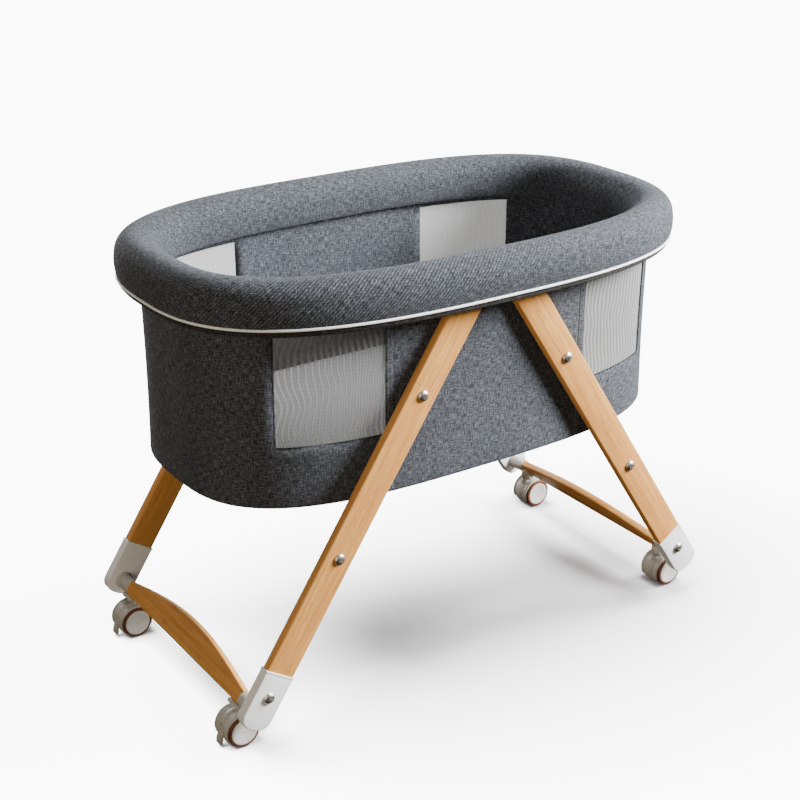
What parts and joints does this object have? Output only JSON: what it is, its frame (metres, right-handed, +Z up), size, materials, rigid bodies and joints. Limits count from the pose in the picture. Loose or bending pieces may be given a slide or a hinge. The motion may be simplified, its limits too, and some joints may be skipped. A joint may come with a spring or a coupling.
{
  "type": "bassinet on stand",
  "caption": "Oval padded fabric bassinet with mesh windows on a splayed wooden stand, with flip-over rocker bars that carry twin-wheel castors.",
  "frame": {"origin": "on the floor under the middle of the basket", "axes": "+X along the basket, with the braked castors at -X; +Y to the rear long side; +Z up"},
  "size_m": [0.8741, 0.5292, 0.6783],
  "materials": {
    "fabric": "heathered woven, blue-grey",
    "mesh": "fine net",
    "piping": "white cord",
    "mattress": "soft, matt",
    "board": "raw board",
    "beech": "satin lacquer",
    "steel": "satin",
    "white_plastic": "semi-gloss",
    "grey_plastic": "satin",
    "wheel": "smooth tread"
  },
  "bodies": {
    "root": {"rim_pad": "fabric", "rim_piping": "piping", "top_ring": "steel", "basket_shell": "fabric", "base_board": "board", "mattress": "mattress", "window_mesh_front_left": "mesh", "window_mesh_front_right": "mesh", "window_mesh_rear_left": "mesh", "window_mesh_rear_right": "mesh", "leg_front_left": "beech", "leg_front_right": "beech", "leg_rear_left": "beech", "leg_rear_right": "beech", "leg_strap_front_left": "steel", "leg_strap_front_right": "steel", "leg_strap_rear_left": "steel", "leg_strap_rear_right": "steel", "upper_bolt_front_left": "steel", "upper_bolt_front_right": "steel", "upper_bolt_rear_left": "steel", "upper_bolt_rear_right": "steel", "lower_bolt_front_left": "steel", "lower_bolt_front_right": "steel", "lower_bolt_rear_left": "steel", "lower_bolt_rear_right": "steel", "foot_bolt_front_left": "steel", "foot_bolt_front_right": "steel", "foot_bolt_rear_left": "steel", "foot_bolt_rear_right": "steel", "foot_socket_front_left": "white_plastic", "foot_socket_front_right": "white_plastic", "foot_socket_rear_left": "white_plastic", "foot_socket_rear_right": "white_plastic"},
    "rocker_left": {"rocker_bar_left": "beech", "rocker_hub_front_left": "grey_plastic", "rocker_hub_rear_left": "grey_plastic"},
    "rocker_right": {"rocker_bar_right": "beech", "rocker_hub_front_right": "grey_plastic", "rocker_hub_rear_right": "grey_plastic"},
    "caster_front_left": {"caster_hood_front_left": "grey_plastic", "caster_stem_front_left": "steel"},
    "caster_rear_left": {"caster_hood_rear_left": "grey_plastic", "caster_stem_rear_left": "steel"},
    "caster_front_right": {"caster_hood_front_right": "grey_plastic", "caster_stem_front_right": "steel"},
    "caster_rear_right": {"caster_hood_rear_right": "grey_plastic", "caster_stem_rear_right": "steel"},
    "roller_inner_front_left": {"wheel_inner_front_left": "wheel"},
    "roller_outer_front_left": {"wheel_outer_front_left": "wheel"},
    "roller_inner_rear_left": {"wheel_inner_rear_left": "wheel"},
    "roller_outer_rear_left": {"wheel_outer_rear_left": "wheel"},
    "roller_inner_front_right": {"wheel_inner_front_right": "wheel"},
    "roller_outer_front_right": {"wheel_outer_front_right": "wheel"},
    "roller_inner_rear_right": {"wheel_inner_rear_right": "wheel"},
    "roller_outer_rear_right": {"wheel_outer_rear_right": "wheel"},
    "brake_front_left": {"brake_pedal_front_left": "grey_plastic"},
    "brake_rear_left": {"brake_pedal_rear_left": "grey_plastic"}
  },
  "joints": [
    {"name": "rocker_left_flip", "type": "hinge", "parent": "root", "child": "rocker_left", "pos_m": [-0.40132, 0, 0.07123], "axis": [0, -1, 0], "range_deg": [0, 180]},
    {"name": "rocker_right_flip", "type": "hinge", "parent": "root", "child": "rocker_right", "pos_m": [0.40132, 0, 0.07123], "axis": [0, 1, 0], "range_deg": [0, 180]},
    {"name": "caster_front_left_swivel", "type": "hinge", "parent": "rocker_left", "child": "caster_front_left", "pos_m": [-0.39532, -0.1766, 0.045], "axis": [0, 0, 1], "continuous": true},
    {"name": "caster_rear_left_swivel", "type": "hinge", "parent": "rocker_left", "child": "caster_rear_left", "pos_m": [-0.39532, 0.1766, 0.045], "axis": [0, 0, 1], "continuous": true},
    {"name": "caster_front_right_swivel", "type": "hinge", "parent": "rocker_right", "child": "caster_front_right", "pos_m": [0.39532, -0.1766, 0.045], "axis": [0, 0, 1], "continuous": true},
    {"name": "caster_rear_right_swivel", "type": "hinge", "parent": "rocker_right", "child": "caster_rear_right", "pos_m": [0.39532, 0.1766, 0.045], "axis": [0, 0, 1], "continuous": true},
    {"name": "wheel_inner_front_left_roll", "type": "hinge", "parent": "caster_front_left", "child": "roller_inner_front_left", "pos_m": [-0.40832, -0.1766, 0.025], "axis": [0, 1, 0], "continuous": true},
    {"name": "wheel_outer_front_left_roll", "type": "hinge", "parent": "caster_front_left", "child": "roller_outer_front_left", "pos_m": [-0.40832, -0.1766, 0.025], "axis": [0, 1, 0], "continuous": true},
    {"name": "wheel_inner_rear_left_roll", "type": "hinge", "parent": "caster_rear_left", "child": "roller_inner_rear_left", "pos_m": [-0.40832, 0.1766, 0.025], "axis": [0, 1, 0], "continuous": true},
    {"name": "wheel_outer_rear_left_roll", "type": "hinge", "parent": "caster_rear_left", "child": "roller_outer_rear_left", "pos_m": [-0.40832, 0.1766, 0.025], "axis": [0, 1, 0], "continuous": true},
    {"name": "wheel_inner_front_right_roll", "type": "hinge", "parent": "caster_front_right", "child": "roller_inner_front_right", "pos_m": [0.40832, -0.1766, 0.025], "axis": [0, 1, 0], "continuous": true},
    {"name": "wheel_outer_front_right_roll", "type": "hinge", "parent": "caster_front_right", "child": "roller_outer_front_right", "pos_m": [0.40832, -0.1766, 0.025], "axis": [0, 1, 0], "continuous": true},
    {"name": "wheel_inner_rear_right_roll", "type": "hinge", "parent": "caster_rear_right", "child": "roller_inner_rear_right", "pos_m": [0.40832, 0.1766, 0.025], "axis": [0, 1, 0], "continuous": true},
    {"name": "wheel_outer_rear_right_roll", "type": "hinge", "parent": "caster_rear_right", "child": "roller_outer_rear_right", "pos_m": [0.40832, 0.1766, 0.025], "axis": [0, 1, 0], "continuous": true},
    {"name": "brake_front_left_lift", "type": "hinge", "parent": "caster_front_left", "child": "brake_front_left", "pos_m": [-0.42132, -0.1766, 0.028], "axis": [0, 1, 0], "range_deg": [0, 25]},
    {"name": "brake_rear_left_lift", "type": "hinge", "parent": "caster_rear_left", "child": "brake_rear_left", "pos_m": [-0.42132, 0.1766, 0.028], "axis": [0, 1, 0], "range_deg": [0, 25]}
  ]
}
